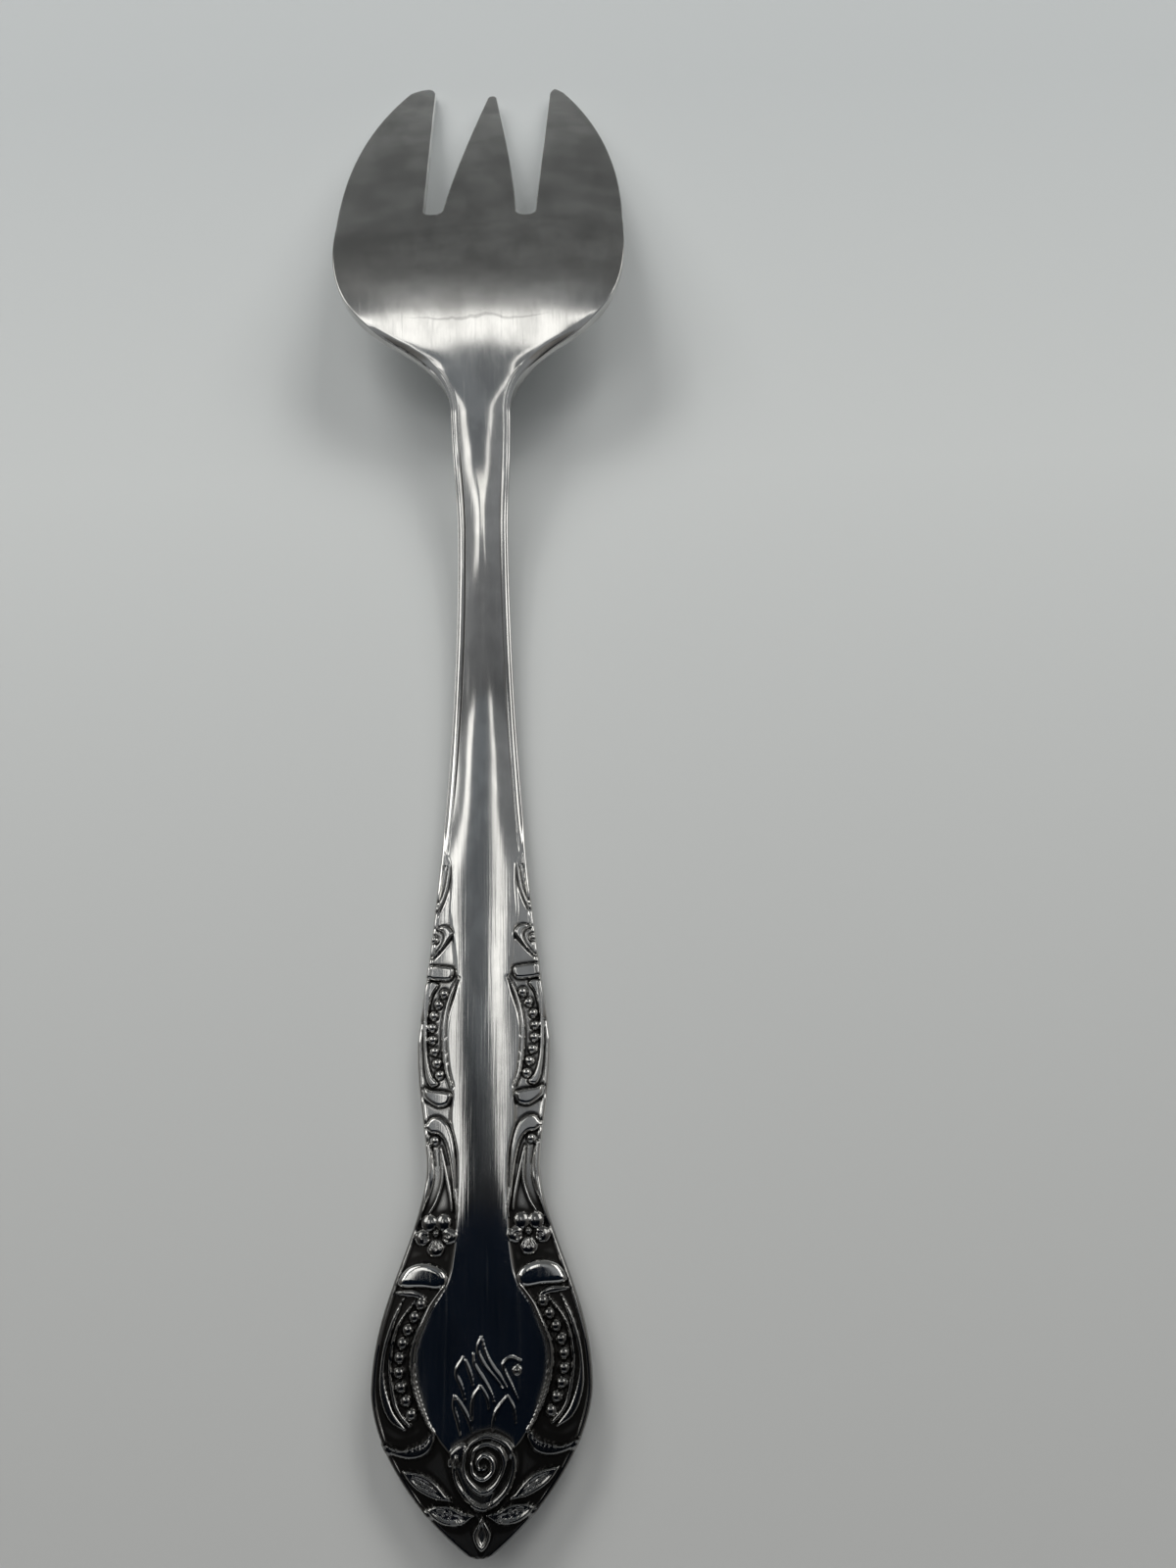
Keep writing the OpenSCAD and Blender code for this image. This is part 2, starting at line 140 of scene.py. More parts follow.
def curve(points, closed=False, fine=8):
    p = np.array(points, float)
    p = np.vstack([p[-1:], p, p[:2]]) if closed else np.vstack([2 * p[0] - p[1], p, 2 * p[-1] - p[-2]])
    u = np.linspace(0, 1, fine, endpoint=False)[:, None]
    pieces = []
    for a, b, c, d in zip(p, p[1:], p[2:], p[3:]):
        bent = (2 * b) + (c - a) * u + (2 * a - 5 * b + 4 * c - d) * u ** 2
        pieces.append((bent + (3 * b - a - 3 * c + d) * u ** 3) / 2)
    return np.vstack(pieces if closed else pieces + [p[-2:-1]])


def near_segments(line, x, y, reach):
    near = ((x > line[:, 0].min() - reach) & (x < line[:, 0].max() + reach)
            & (y > line[:, 1].min() - reach) & (y < line[:, 1].max() + reach))
    steps = [(a, b - a) for a, b in zip(line, line[1:]) if (b != a).any()]
    return near, x[near], y[near], steps


def path_gap(points, x, y, reach):
    line = curve(points) if len(points) > 2 else np.array(points, float)
    near, px, py, steps = near_segments(line, x, y, reach)
    best, at, length = np.full(px.shape, np.inf), np.zeros(px.shape), 0.0
    for a, d in steps:
        s = np.clip(((px - a[0]) * d[0] + (py - a[1]) * d[1]) / (d @ d), 0, 1)
        gap = np.hypot(px - a[0] - s * d[0], py - a[1] - s * d[1])
        at = np.where(gap < best, length + s * math.hypot(*d), at)
        best = np.minimum(gap, best)
        length += math.hypot(*d)
    off, way = np.full(x.shape, 1e3), np.zeros(x.shape)
    off[near], way[near] = best, at / length
    return off, way


def outline_gap(points, x, y, reach=0.8):
    line = curve(points, closed=True)
    near, px, py, steps = near_segments(np.vstack([line, line[:1]]), x, y, reach)
    best, within = np.full(px.shape, np.inf), np.zeros(px.shape, bool)
    for a, d in steps:
        s = np.clip(((px - a[0]) * d[0] + (py - a[1]) * d[1]) / (d @ d), 0, 1)
        best = np.minimum(best, np.hypot(px - a[0] - s * d[0], py - a[1] - s * d[1]))
        crossed = (a[1] > py) != (a[1] + d[1] > py)
        within ^= crossed & (px < a[0] + (py - a[1]) * d[0] / (d[1] or 1))
    gap = np.full(x.shape, -1e3)
    gap[near] = np.where(within, best, -best)
    return gap


# Relief gathers the strokes of the die on one grid: the raised work, its grooves and the moat round it.
class Relief:
    moat_width, moat_depth, moat_reach, standing_height, groove_reach = 0.18, 0.1, 0.5, 0.15, 2.5
    leaf_shoulder, leaf_dish, vein_spread, vein_slant = 0.42, 0.22, 0.12, 0.14
    rib_widths, vein_widths, vein_places = (0.26, 0.22, 0.14), (0.16, 0.1), (0.18, 0.36, 0.54)
    rib_length, rib_share, vein_share = 0.95, 0.9, 0.75

    def __init__(self, x, y):
        self.x, self.y = x, y
        self.raised, self.vein, self.moat = (np.zeros(x.shape) for _ in range(3))

    def ridge(self, points, widths, height, roundness=0.7):
        off, way = path_gap(points, self.x, self.y, max(widths) + self.moat_reach)
        w = np.interp(way, np.linspace(0, 1, len(widths)), widths)
        self.raised = np.maximum(self.raised, height * np.clip(1 - (off / w) ** 2, 0, 1) ** roundness)
        self.moat = np.maximum(self.moat, np.exp(-(np.maximum(off - w, 0) / self.moat_width) ** 2))

    def groove(self, points, widths, depth):
        off, way = path_gap(points, self.x, self.y, self.groove_reach * max(widths))
        w = np.interp(way, np.linspace(0, 1, len(widths)), widths)
        self.vein = np.maximum(self.vein, depth * np.exp(-(off / w) ** 2))

    def bead(self, at, radius, height, roundness=0.55):
        off = np.hypot(self.x - at[0], self.y - at[1])
        dome = np.clip(1 - (off / radius) ** 2, 0, 1) ** roundness
        self.raised = np.maximum(self.raised, height * dome)
        self.moat = np.maximum(self.moat, np.exp(-(np.maximum(off - radius, 0) / self.moat_width) ** 2))

    def bead_row(self, points, count, radius, height):
        line = curve(points)
        way = np.concatenate([[0], np.cumsum(np.hypot(*np.diff(line, axis=0).T))])
        for s in np.linspace(0, way[-1], count):
            self.bead((np.interp(s, way, line[:, 0]), np.interp(s, way, line[:, 1])), radius, height)

    def plate(self, points, height, shoulder, dish=0.0):
        gap = outline_gap(points, self.x, self.y)
        rounded = np.sqrt(1 - (1 - np.clip(gap / shoulder, 0, 1)) ** 2)
        hollow = dish * ease(np.clip(gap / shoulder - 0.6, 0, 1))
        self.raised = np.maximum(self.raised, height * rounded - hollow)
        self.moat = np.maximum(self.moat, np.exp(-(np.minimum(gap, 0) / self.moat_width) ** 2))

    def leaf(self, points, stalk, tip, height):
        self.plate(points, height, self.leaf_shoulder, self.leaf_dish)
        stalk, rib = np.array(stalk), np.array(tip) - np.array(stalk)
        across = self.vein_spread * np.array((-rib[1], rib[0]))
        self.ridge([stalk, stalk + self.rib_length * rib], self.rib_widths, self.rib_share * height)
        for s in self.vein_places:
            for side in (-1, 1):
                end = stalk + (s + self.vein_slant) * rib + side * across
                self.ridge([stalk + s * rib, end], self.vein_widths, self.vein_share * height)

    def height(self):
        standing = np.clip(self.raised / self.standing_height, 0, 1)
        return self.raised - self.vein * standing - self.moat_depth * self.moat * (1 - standing)


def step(distance, soft):
    return ease(np.clip(0.5 + distance / (2 * soft), 0, 1))


ground_depth, rim_width = 0.25, 0.55
panel_edge = curve([(-0.5, 2.7), (0.2, 3.5), (3.2, 9.4), (4.9, 11.6), (7.2, 15.2), (7.75, 18.8),
                    (7.1, 22.4), (4.3, 26.7), (3.4, 30), (3, 36), (3.1, 41), (3.9, 44.8), (3.8, 48.6),
                    (4.6, 53), (4.6, 57), (3.4, 61), (3.7, 66), (4.3, 70.5), (4.4, 77), (8, 83)])


def ground(x, y):
    edge = np.interp(y, panel_edge[:, 1], panel_edge[:, 0])
    beside_panel = step(np.abs(x) - edge, 0.25)
    inside_rim = step(half_width(y) - rim_width - np.abs(x), 0.2)
    return beside_panel * inside_rim * share(y, narrows + 4, narrows - 2)


def waist_strokes(pair):
    pair.plate([(3.1, 36), (3.15, 39), (3.4, 42), (4.1, 44.3), (5.3, 45.4), (6.4, 45.3), (6.9, 44.4),
                (6.4, 43.6), (5.4, 43.4), (4.6, 42.4), (4.05, 40.6), (3.6, 38), (3.4, 36)], 0.5, 0.4)
    pair.ridge([(3.25, 37), (3.05, 35), (3.1, 33.9)], (0.25, 0.22, 0.15), 0.4)
    pair.bead((5.8, 42.7), 0.62, 0.58)
    pair.ridge([(5, 41.8), (4.2, 38.2), (3.75, 36), (3.6, 34.8)], (0.2, 0.28, 0.3, 0.2), 0.42)
    pair.ridge([(4.95, 41.2), (4.8, 38.2), (5.4, 36), (6.3, 34.5)], (0.2, 0.26, 0.3, 0.22), 0.42)
    pair.ridge([(6.5, 42.2), (6.15, 39.5), (6.3, 37.6), (7.5, 34.2), (8.7, 31.4), (9.6, 29.6)],
               (0.3, 0.45, 0.4, 0.35, 0.25), 0.36)


shell = [(4, 27.8), (5, 28.8), (6.9, 29.3), (8.8, 28.7), (9.75, 27.1), (9, 26.6), (6.9, 26.5), (5.1, 26.3),
         (4.2, 26.8)]


def end_relief(x, y):
    pair = Relief(np.abs(x), y)
    waist_strokes(pair)
    # bead row, the ridge on each side of it and the border
    pair.bead_row([(6.95, 24.85), (8.95, 20.9), (9.15, 17.2), (7.7, 13.8)], 9, 0.7, 0.62)
    pair.ridge([(4.4, 26.7), (6.35, 23.9), (7.75, 20.4), (7.6, 16.9), (6.2, 13.4), (5.2, 11.9)],
               (0.2, 0.34, 0.4, 0.34, 0.2), 0.48)
    pair.ridge([(7.6, 25.3), (9.6, 22.5), (10.3, 18.9), (9.7, 15.3), (8.9, 13.7), (7.9, 12.7)],
               (0.18, 0.26, 0.26, 0.3, 0.25), 0.42)
    pair.plate([(8.9, 25.6), (10.2, 23.6), (11.2, 20.4), (11.5, 17), (11, 14.6), (10, 13), (8.5, 12.2),
                (8.4, 12.6), (9.7, 14.2), (10.7, 17), (10.8, 19.5), (10, 22.6)], 0.36, 0.35)
    # shell and the collars at the row's ends
    pair.plate([(6.3, 25.4), (7.7, 26.4), (9.8, 26.3), (9.8, 25.9), (8.2, 25.6)], 0.4, 0.3)
    pair.plate(shell, 0.66, 0.75)
    pair.plate([(5.3, 12.1), (6.2, 11.1), (7.7, 10.6), (9.1, 10.6), (10.6, 11.1), (10, 10), (7.8, 9.4),
                (6, 9.8), (5, 11.1)], 0.5, 0.5)
    pair.ridge([(5.5, 11.8), (6.3, 10.95), (7.8, 10.4), (9.1, 10.35), (10.5, 10.9)],
               (0.16, 0.22, 0.24, 0.16), 0.62)
    # floret: five petals, their grooves and the middle
    for at, radius in (((4.6, 33.5), 1), ((6.3, 33.5), 1), ((3.9, 32), 0.95), ((7, 31.9), 0.95),
                       ((5.4, 30.8), 1.1)):
        pair.bead(at, radius, 0.52, 0.5)
    for turn in range(-4, 5):
        a = math.radians(-90 + 21 * turn)
        spoke = np.array((math.cos(a), math.sin(a)))
        pair.groove([(5.4, 32.2) + 0.5 * spoke, (5.4, 32.2) + 1.5 * spoke], (0.12, 0.14), 0.2)
    pair.bead((5.4, 32.3), 0.5, 0.68)
    # leaves beside the rose and the end leaf
    pair.leaf([(8.7, 8.5), (8.7, 8.5), (7, 8.3), (5.4, 7.7), (4.1, 6.6), (3.1, 5.4), (3.1, 5.4), (4.9, 5.6),
               (6.7, 6.4), (7.8, 7.3)], (3.3, 5.6), (8.5, 8.3), 0.5)
    pair.leaf([(6, 4.8), (6, 4.8), (4.6, 5.2), (3, 5), (1.7, 4.4), (0.5, 4.1), (0.5, 4.1), (2, 3.2),
               (3.7, 3.2), (5, 3.8)], (0.8, 4.1), (5.8, 4.7), 0.5)
    whole = Relief(x, y)
    whole.plate([(0.2, 4.2), (0.2, 4.2), (1.2, 2.6), (0.9, 1.4), (0.2, 0.8), (-0.5, 1.4), (-0.8, 2.6)],
                0.5, 0.45, 0.3)
    # rose
    whole.plate([(-3.5, 8.6), (-3.4, 10), (-2.2, 10.9), (-1.5, 10.6), (-2.2, 9.2)], 0.34, 0.4)
    whole.plate([(0.3, 4.7), (-1.3, 5.5), (-2.6, 7), (-2.9, 8.7), (-1.8, 10.5), (0.9, 11.6), (2.9, 10.8),
                 (3.7, 9), (3.1, 6.7), (1.6, 5.2)], 0.26, 0.9)
    rose_petals = [[(-2.6, 9.6), (-2.9, 8.4), (-2.4, 6.9), (-1.2, 5.5), (0.3, 4.8), (1.6, 5.3), (3, 6.7),
                    (3.6, 8.8), (2.9, 10.6), (1, 11.5), (-0.7, 11.1), (-1.6, 10.2)],
                   [(-1.6, 10.2), (-1.8, 8.6), (-1.2, 7.3), (0.2, 6.3), (1.6, 6.9), (2.6, 8.5), (2.2, 10.1),
                    (0.8, 10.8), (-0.6, 10.3), (-0.95, 9)],
                   [(-0.95, 9), (-0.7, 8), (0.3, 7.5), (1.3, 8.2), (1.3, 9.2), (0.4, 9.8), (-0.3, 9.2),
                    (-0.1, 8.5), (0.5, 8.5)]]
    for petal, height in zip(rose_petals, (0.5, 0.58, 0.66)):
        whole.ridge(petal, (0.3, 0.42, 0.46, 0.46, 0.42, 0.26), height, 0.8)
    # plume
    flames = [
        [(0, 21.3), (-0.4, 20), (0.3, 18.5), (1.5, 17.2), (2.5, 16)],
        [(0.1, 21), (0.5, 19.6), (1.2, 18.3), (2.2, 17.1), (2.9, 16)],
        [(-0.9, 19.6), (-0.7, 18.4), (0.3, 16.9), (1.1, 15.6), (1.5, 14.6)],
        [(-2, 19.3), (-2.8, 17.8), (-2.2, 16.4), (-1.7, 14.9)],
        [(-1.8, 19), (-1.3, 17.8), (-0.8, 16.3)],
        [(-3, 15.5), (-3, 14.4), (-2.5, 12.9), (-2.2, 11.6)],
        [(-2.8, 15.4), (-1.9, 14.1), (-1.3, 13), (-0.9, 11.8)],
        [(-0.1, 16.4), (-0.8, 15.3), (-1, 14.1), (-0.9, 12.9)],
        [(0, 16.3), (0.7, 15.1), (0.9, 14)],
        [(2.9, 15.3), (1.8, 14), (1.4, 13), (1.3, 11.9)],
        [(3, 15.2), (3.6, 14), (3.8, 12.6)],
        [(4.1, 14.8), (3.3, 16.4), (2.6, 17.7), (2.5, 18.5), (3.3, 19.1), (4.4, 18.7)]]
    for flame in flames:
        whole.ridge(flame, (0.14, 0.28, 0.34, 0.3, 0.16), 0.13, 1)
    whole.bead((4, 17.8), 0.45, 0.34)
    return np.maximum(pair.height(), whole.height()) - ground_depth * ground(x, y)


border_columns, smoothing_rounds, hollow_step, crease = 18, 30, 0.16, math.radians(50)
flank_rise, polished_top, dull_rim = 0.1, (0.62, 0.5), (0.9, 0.6)


def columns_across(reach, count, band):
    if band is None:
        return reach * np.linspace(-1, 1, count)[None, :]
    border = np.minimum(band, 0.5 * reach) * np.linspace(1, 0, border_columns)[None, :]
    middle = (reach - border[:, :1]) * np.linspace(-1, 1, count - 2 * border_columns + 2)[None, 1:-1]
    return np.hstack([(border - reach)[:, ::-1], middle, reach - border])


# A struck zone is one skin round the bar: at each station the back, an edge, the face and the other edge.
def struck_zone(name, stations, columns, face_columns, back_relief, face_relief,
                corner=edge_radius, band=None, bright=(), extra_oxide_and_shade=None):
    rows = np.asarray(stations, float)[:, None]
    wide = half_width(rows)
    round_end = np.sqrt(1 - (1 - share(rows, 0, nose_length)) ** 2)
    e = np.minimum(corner * edge_slant(rows), 0.45 * wide)
    over = columns_across(wide - e, columns, band and band * edge_slant(rows))
    under = -columns_across(wide - e, face_columns, band and band * edge_slant(rows))
    lift = back_relief(over, np.broadcast_to(rows, over.shape))
    top = back(over, rows) + lift
    bottom = np.maximum(face(under, rows) - face_relief(under, np.broadcast_to(rows, under.shape)), 0)
    turns = np.radians((22.5, 45, 67.5, 90))
    out = [wide - e + e * math.sin(a) for a in turns]
    drop = [corner * (1 - math.cos(a)) for a in turns]
    ring_x = np.hstack([
        over, *out, *out[::-1], under, *(-o for o in out), *(-o for o in out[::-1]), over[:, :1]])
    ring_z = np.hstack([
        top, *(top[:, -1:] - d for d in drop), *(bottom[:, :1] + d for d in drop[::-1]),
        bottom, *(bottom[:, -1:] + d for d in drop), *(top[:, :1] - d for d in drop[::-1]), top[:, :1]])
    middle = (top[:, columns // 2, None] + bottom[:, face_columns // 2, None]) / 2
    ring_x, ring_z = ring_x * round_end, middle + (ring_z - middle) * round_end
    count, around = ring_x.shape
    bpy.ops.object.select_all(action="DESELECT")
    bpy.ops.mesh.primitive_grid_add(x_subdivisions=around - 1, y_subdivisions=count - 1, size=1)
    piece = bpy.context.object
    piece.name = piece.data.name = name
    place = np.stack([ring_x, np.broadcast_to(rows, ring_x.shape) + point, ring_z], -1)
    piece.data.vertices.foreach_set("co", (place.reshape(-1, 3) / 1000).ravel())
    # The hollow attribute darkens the recesses: depth below a blurred copy of the relief, stronger near the
    # handle's end, with the sunk ground there and any extra line passed in. This dark is part oxide and
    # part painted shade.
    smooth = lift.copy()
    for _ in range(smoothing_rounds):
        padded = np.pad(smooth, 1, mode="edge")
        smooth = (padded[:-2, 1:-1] + padded[2:, 1:-1] + padded[1:-1, :-2] + padded[1:-1, 2:]) / 4
    hollow = np.zeros(ring_x.shape)
    tarnish_and_shade = np.clip(-lift / ground_depth, 0, 1) * along(rows, (waist - 9, 0.5), (waist + 1, 0.12))
    blackening_and_shade = along(rows, (waist - 12, 1), (waist, 0.38))
    hollow[:, :columns] = np.clip((smooth - lift) / hollow_step * blackening_and_shade + tarnish_and_shade, -1, 1)
    if extra_oxide_and_shade:
        hollow[:, :columns] += extra_oxide_and_shade(over, rows)
    piece.data.attributes.new("hollow", "FLOAT", "POINT").data.foreach_set("value", hollow.ravel())
    # This mask covers the sides of the raised work and the rim: it makes them rougher, and near the
    # handle's end their colour is darkened, part patina and part painted shade.
    worked_and_shaded = np.ones(ring_x.shape)
    flanks = np.clip(np.abs(lift) / flank_rise, 0, 1) * share(lift, *polished_top)
    for outline in bright:
        inside = outline_gap(outline, np.abs(over), np.broadcast_to(rows, over.shape))
        flanks = flanks * step(-0.1 - inside, 0.1)
    rim = share(np.abs(over), wide - dull_rim[0], wide - dull_rim[1])
    worked_and_shaded[:, :columns] = np.maximum(flanks, rim)
    piece.data.attributes.new("worked_and_shaded", "FLOAT", "POINT").data.foreach_set("value", worked_and_shaded.ravel())
    bpy.ops.object.mode_set(mode="EDIT")
    bpy.ops.mesh.select_all(action="SELECT")
    bpy.ops.mesh.remove_doubles(threshold=1e-7)
    bpy.ops.mesh.fill_holes(sides=0)
    bpy.ops.mesh.normals_make_consistent(inside=False)
    bpy.ops.object.mode_set(mode="OBJECT")
    bpy.ops.object.shade_smooth_by_angle(angle=crease)
    return piece


# The first colour here is the dark of the hollows: part oxide, part painted shade.
oxide_and_shade_tone, oxide_and_shade_roughness, worn_share, scratch_depth = (0.026, 0.025, 0.024, 1), 0.45, 0.78, 0.00002
streak_scale, smudge_scale, hairline_scale = (4500, 90, 900), (240, 110, 180), (2600, 70, 400)
cloud_scale, wave_scale = (110, 210, 100), (170, 40, 40)
noise_span, oxide_and_shade_span, hairline_span, smudge_span = (0.3, 0.7), (0.12, 0.8), (0.6, 0.72), (0.38, 0.66)
wave_height, seam_span, seam_shades, seam_bow = (-0.0005, 0.0005), (0.00008, 0.0004), (0.72, 1), 0.3
# After the clouds, this line's levels paint a lighter sheen towards the tips, then darken the worked places
# near the handle's end: part patina, part painted shade.
cloud_shades, tip_sheen_levels, end_patina_and_shade_levels = (0.88, 1.16), (0.95, 1.5), (0.42, 1)
hairline_roughness, waist_roughness, shank_roughness = (0, 0.06), (0, 0.06), (0, 0.01)
flank_roughness, scratch_strength = (0.08, 0.01), (0.45, 0.1)


def steel(name, bright, polish, satin):
    material = bpy.data.materials.new(name)
    material.use_nodes = True
    nodes, link = material.node_tree.nodes, material.node_tree.links.new
    shader = nodes["Principled BSDF"]
    shader.inputs["Metallic"].default_value = 1
    where = nodes.new("ShaderNodeTexCoord")

    def noise(scale, detail):
        lay = nodes.new("ShaderNodeMapping")
        lay.inputs["Scale"].default_value = scale
        link(where.outputs["Object"], lay.inputs["Vector"])
        texture = nodes.new("ShaderNodeTexNoise")
        texture.inputs["Scale"].default_value = 1
        texture.inputs["Detail"].default_value = detail
        link(lay.outputs["Vector"], texture.inputs["Vector"])
        return texture.outputs["Fac"]

    def spread(value, low, high, to_low, to_high):
        node = nodes.new("ShaderNodeMapRange")
        node.interpolation_type = "SMOOTHSTEP"
        ends = {"From Min": low, "From Max": high, "To Min": to_low, "To Max": to_high}
        for socket, number in ends.items():
            node.inputs[socket].default_value = number
        link(value, node.inputs["Value"])
        return node.outputs["Result"]

    def reckon(operation, *values):
        node = nodes.new("ShaderNodeMath")
        node.operation = operation
        for socket, value in zip(node.inputs, values):
            if isinstance(value, float):
                socket.default_value = value
            else:
                link(value, socket)
        return node.outputs["Value"]

    # Darkening of the hollows: part oxide left in the recesses, part painted shade.
    hollow = nodes.new("ShaderNodeAttribute")
    hollow.attribute_name = "hollow"
    oxide_and_shade = spread(hollow.outputs["Fac"], *oxide_and_shade_span, 0, 1)
    worked_and_shaded = nodes.new("ShaderNodeAttribute")
    worked_and_shaded.attribute_name = "worked_and_shaded"
    split = nodes.new("ShaderNodeSeparateXYZ")
    link(where.outputs["Object"], split.inputs["Vector"])
    bow = reckon("MULTIPLY", reckon("MULTIPLY", split.outputs["X"], split.outputs["X"]), satin["bow"])
    wave = spread(noise(wave_scale, 3), *noise_span, *wave_height)
    heel_line = reckon("ADD", split.outputs["Y"], wave)
    brushed = spread(reckon("SUBTRACT", heel_line, bow), *satin["from"], 0, 1)
    seam_gap = reckon("ABSOLUTE", reckon("SUBTRACT", heel_line, satin["seam"]))
    off_seam = reckon("ADD", seam_gap, reckon("MULTIPLY", bow, seam_bow))
    seam = spread(off_seam, *seam_span, *seam_shades)
    clouds = spread(noise(cloud_scale, 6), *noise_span, *cloud_shades)
    # Painted sheen: the satin's colour is made lighter towards the tips.
    painted_tip_sheen = spread(split.outputs["Y"], *satin["tips"], *tip_sheen_levels)
    above_waist = spread(split.outputs["Y"], *satin["dull"], *waist_roughness)
    dull = reckon("ADD", above_waist, spread(split.outputs["Y"], *satin["smooth"], *shank_roughness))
    flank_dulling = spread(split.outputs["Y"], *satin["dull"], *flank_roughness)
    blunt = reckon("MULTIPLY", worked_and_shaded.outputs["Fac"], flank_dulling)
    streaks = noise(streak_scale, 2)
    smudges = noise(smudge_scale, 5)
    hairlines = spread(noise(hairline_scale, 2), *hairline_span, *hairline_roughness)
    rough_polish = spread(streaks, *noise_span, *polish)
    rough_satin = spread(smudges, *noise_span, *satin["roughness"])
    finish = nodes.new("ShaderNodeMix")
    link(brushed, finish.inputs["Factor"])
    scratched = reckon("ADD", rough_polish, hairlines)
    link(reckon("ADD", scratched, reckon("ADD", dull, blunt)), finish.inputs["A"])
    link(rough_satin, finish.inputs["B"])
    rough = nodes.new("ShaderNodeMix")
    rough.inputs["B"].default_value = oxide_and_shade_roughness
    link(oxide_and_shade, rough.inputs["Factor"])
    link(finish.outputs["Result"], rough.inputs["A"])
    link(rough.outputs["Result"], shader.inputs["Roughness"])
    worn = nodes.new("ShaderNodeMix")
    worn.data_type = "RGBA"
    worn.inputs["A"].default_value = (*bright, 1)
    worn.inputs["B"].default_value = (*(worn_share * c for c in bright), 1)
    link(spread(smudges, *smudge_span, 0, 1), worn.inputs["Factor"])
    # Random clouds and the painted tip sheen tint the satin.
    clouds_and_tip_sheen = nodes.new("ShaderNodeMix")
    clouds_and_tip_sheen.inputs["A"].default_value = 1
    link(brushed, clouds_and_tip_sheen.inputs["Factor"])
    link(reckon("MULTIPLY", clouds, painted_tip_sheen), clouds_and_tip_sheen.inputs["B"])
    # Near the handle's end the masked places are painted darker: part patina, part painted shade that dims
    # their shine.
    end_patina_and_shade = nodes.new("ShaderNodeMix")
    end_patina_and_shade.inputs["A"].default_value = 1
    link(worked_and_shaded.outputs["Fac"], end_patina_and_shade.inputs["Factor"])
    link(spread(split.outputs["Y"], *satin["dull"], *end_patina_and_shade_levels), end_patina_and_shade.inputs["B"])
    shaded = nodes.new("ShaderNodeMix")
    shaded.data_type = "RGBA"
    shaded.blend_type = "MULTIPLY"
    shaded.inputs["Factor"].default_value = 1
    link(worn.outputs["Result"], shaded.inputs["A"])
    seam_and_end_shade = reckon("MULTIPLY", seam, end_patina_and_shade.outputs["Result"])
    link(reckon("MULTIPLY", clouds_and_tip_sheen.outputs["Result"], seam_and_end_shade), shaded.inputs["B"])
    tone = nodes.new("ShaderNodeMix")
    tone.data_type = "RGBA"
    tone.inputs["B"].default_value = oxide_and_shade_tone
    link(oxide_and_shade, tone.inputs["Factor"])
    link(shaded.outputs["Result"], tone.inputs["A"])
    link(tone.outputs["Result"], shader.inputs["Base Color"])
    relief = nodes.new("ShaderNodeBump")
    link(spread(split.outputs["Y"], *satin["smooth"], *scratch_strength), relief.inputs["Strength"])
    relief.inputs["Distance"].default_value = scratch_depth
    link(streaks, relief.inputs["Height"])
    link(relief.outputs["Normal"], shader.inputs["Normal"])
    return material


def metres(y):
    return (y + point) / 1000


satin_head = {
    "from": (metres(root + 3), metres(root + 7.5)),
    "seam": metres(root + 4),
    "tips": (metres(tips - 32), metres(tips - 3)),
    "dull": (metres(waist - 9), metres(waist + 1)),
    "smooth": (metres(narrows - 8), metres(narrows + 6)),
    "bow": 9.0,
    "roughness": (0.2, 0.26)}
steel_colour, polish_roughness = (0.64, 0.635, 0.62), (0.045, 0.075)
polished = steel("struck_steel", steel_colour, polish_roughness, satin_head)
face_share, end_columns, end_face_columns = 0.6, 180, 100
end_stations = np.concatenate([np.linspace(0, nose_length, 8)[:-1], np.linspace(nose_length, waist, 285)])
handle_end = struck_zone(
    "handle_end", end_stations, end_columns, end_face_columns, end_relief,
    lambda x, y: face_share * end_relief(x, y), bright=[shell])
handle_end.data.materials.append(polished)
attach(handle_end, "root")
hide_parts("paddle", "shell_collars", "florets", "lower_beads", "lower_border",
            "lower_collars", "plume", "rose", "rose_leaves", "end_leaf")

# Upper handle: the slimmer half above the waist, of the same struck and polished steel.
# A bead row between a ridge and a raised border stands on each side of a smooth panel, with collars at
# both its ends, hooded arches below it and curls and slim leaves above it.


